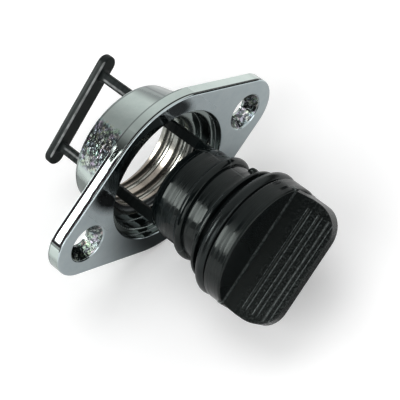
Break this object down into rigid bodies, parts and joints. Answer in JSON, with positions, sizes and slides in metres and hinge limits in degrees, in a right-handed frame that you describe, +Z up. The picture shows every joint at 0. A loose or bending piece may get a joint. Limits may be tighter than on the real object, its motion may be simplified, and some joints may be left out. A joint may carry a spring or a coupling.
{
  "type": "scupper fitting",
  "caption": "Chromed flanged drain socket with a coarse threaded bore, captive screw plug with a ribbed finger grip, rubber ring and cross-bar retainer.",
  "frame": {"origin": "centre of the flange's mounting face, midway between the two screw holes, on the axis of the bore", "axes": "+Z up with the flange upright, +X along the line through the two screw holes, +Y along the bore from the front face to the collar that goes through the hull"},
  "size_m": [0.0672, 0.0727, 0.0428],
  "materials": {
    "chromed_brass": "polished chrome plate",
    "black_nylon": "satin moulded nylon",
    "black_rubber": "smooth moulded rubber"
  },
  "bodies": {
    "socket": {"socket": "chromed_brass"},
    "seal": {"o_ring": "black_rubber"},
    "plug": {"plug": "black_nylon", "retainer": "black_nylon"}
  },
  "joints": [
    {"name": "plug_travel", "type": "slide", "parent": "socket", "child": "seal", "axis": [0, 1, 0], "range_m": [-0.0143, 0.02492]},
    {"name": "plug_turn", "type": "hinge", "parent": "seal", "child": "plug", "pos_m": [0, -0.025, 0], "axis": [0, 1, 0], "range_deg": [-1287, 2242.7]}
  ],
  "couplings": [
    {"joint": "plug_travel", "follows": "plug_turn", "m_per_rad": 0.00063662}
  ]
}
